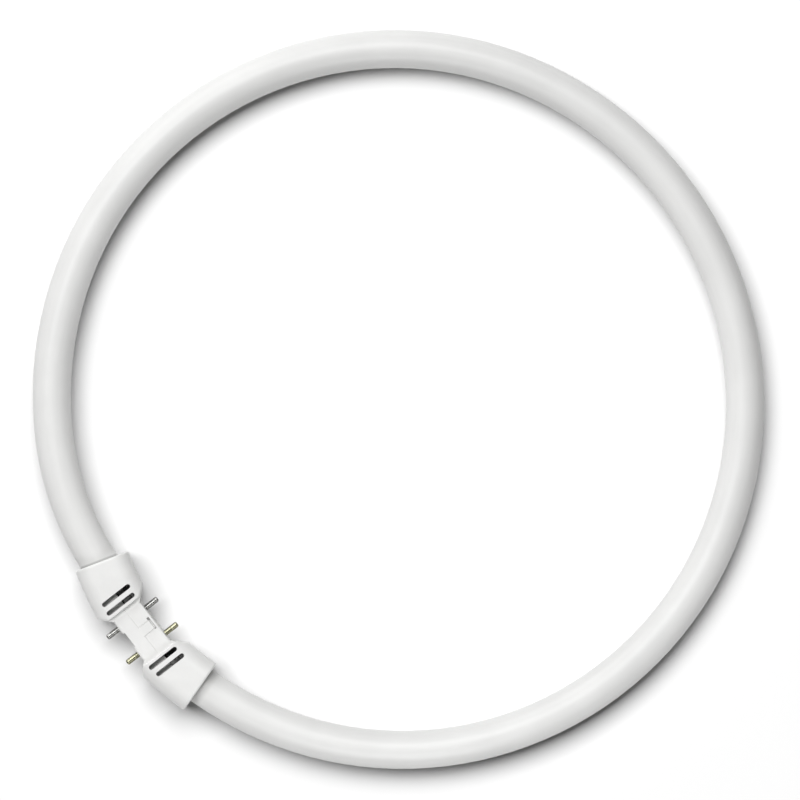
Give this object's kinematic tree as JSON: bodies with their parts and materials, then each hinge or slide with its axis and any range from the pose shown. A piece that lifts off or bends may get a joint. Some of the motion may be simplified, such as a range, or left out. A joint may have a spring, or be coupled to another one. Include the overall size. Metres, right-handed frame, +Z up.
{
  "type": "circular fluorescent tube",
  "caption": "Ring-shaped fluorescent lamp that lies flat: a white glass tube bent round, its ends held in a moulded cap with vent slots and contact pins pointing in and out of the ring.",
  "frame": {"origin": "centre of the ring, in the plane of the tube's middle line", "axes": "+Z up along the ring's axis, +X along the cap's bridge, and the cap on the -Y side with its inner pins pointing along +Y"},
  "size_m": [0.301, 0.3015, 0.0212],
  "materials": {
    "coated_glass": "clear gloss over a white coat on the inside",
    "cap_plastic": "satin moulded white",
    "pin_brass": "turned, slightly dull",
    "pin_tinned": "turned and tinned, slightly dull",
    "lead_metal": "drawn wire"
  },
  "bodies": {
    "root": {"discharge_tube": "coated_glass", "cap_upper_shell": "cap_plastic", "cap_lower_shell": "cap_plastic", "contact_pin_inner_left": "pin_tinned", "contact_pin_inner_right": "pin_brass", "contact_pin_outer_left": "pin_tinned", "contact_pin_outer_right": "pin_brass", "lead_wire_inner_left": "lead_metal", "lead_wire_inner_right": "lead_metal", "lead_wire_outer_left": "lead_metal", "lead_wire_outer_right": "lead_metal"}
  },
  "joints": []
}
